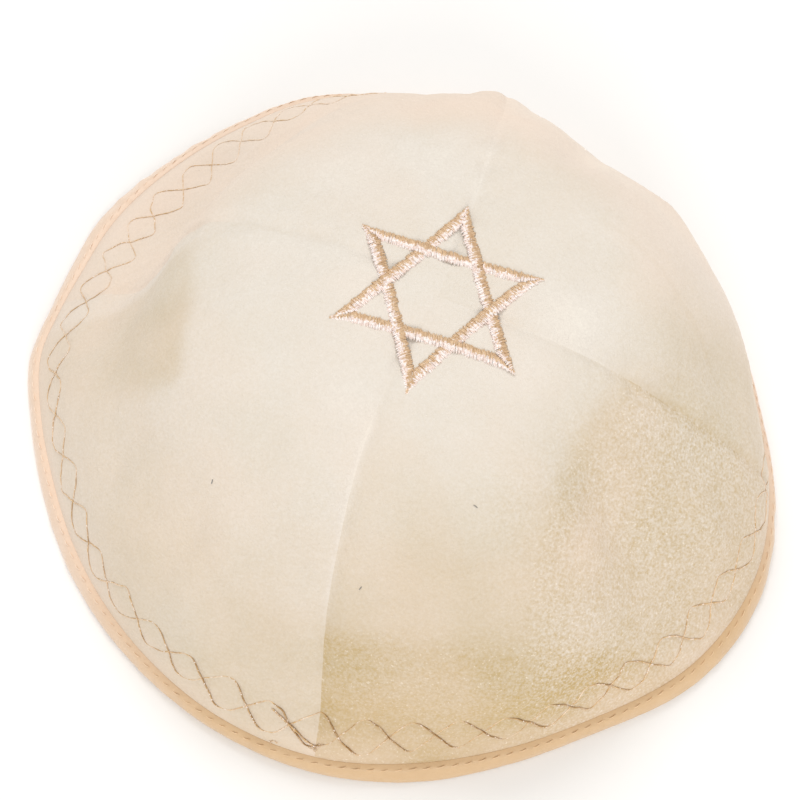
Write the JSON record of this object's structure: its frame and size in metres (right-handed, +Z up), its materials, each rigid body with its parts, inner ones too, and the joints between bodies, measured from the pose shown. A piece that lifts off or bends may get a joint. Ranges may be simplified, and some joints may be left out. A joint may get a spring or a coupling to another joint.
{
  "type": "kippah skullcap",
  "caption": "Shallow domed velvet skullcap sewn from triangular gores, with a taped edge and a raised outline star on the crown, resting on its rim.",
  "frame": {"origin": "on the table under the middle of the rim's bounding box", "axes": "+Z up through the crown, +Y towards the back seam's corner, +X to the viewer's right"},
  "size_m": [0.1688, 0.1656, 0.0552],
  "materials": {
    "velvet": "cream cotton velvet, short pile",
    "binding": "peach satin tape",
    "thread": "tan and gold embroidery thread"
  },
  "bodies": {
    "root": {"gore_front_right": "velvet", "gore_front_left": "velvet", "gore_back_left": "velvet", "gore_back_right": "velvet", "rim_binding": "binding", "embroidered_star": "thread"}
  },
  "joints": []
}
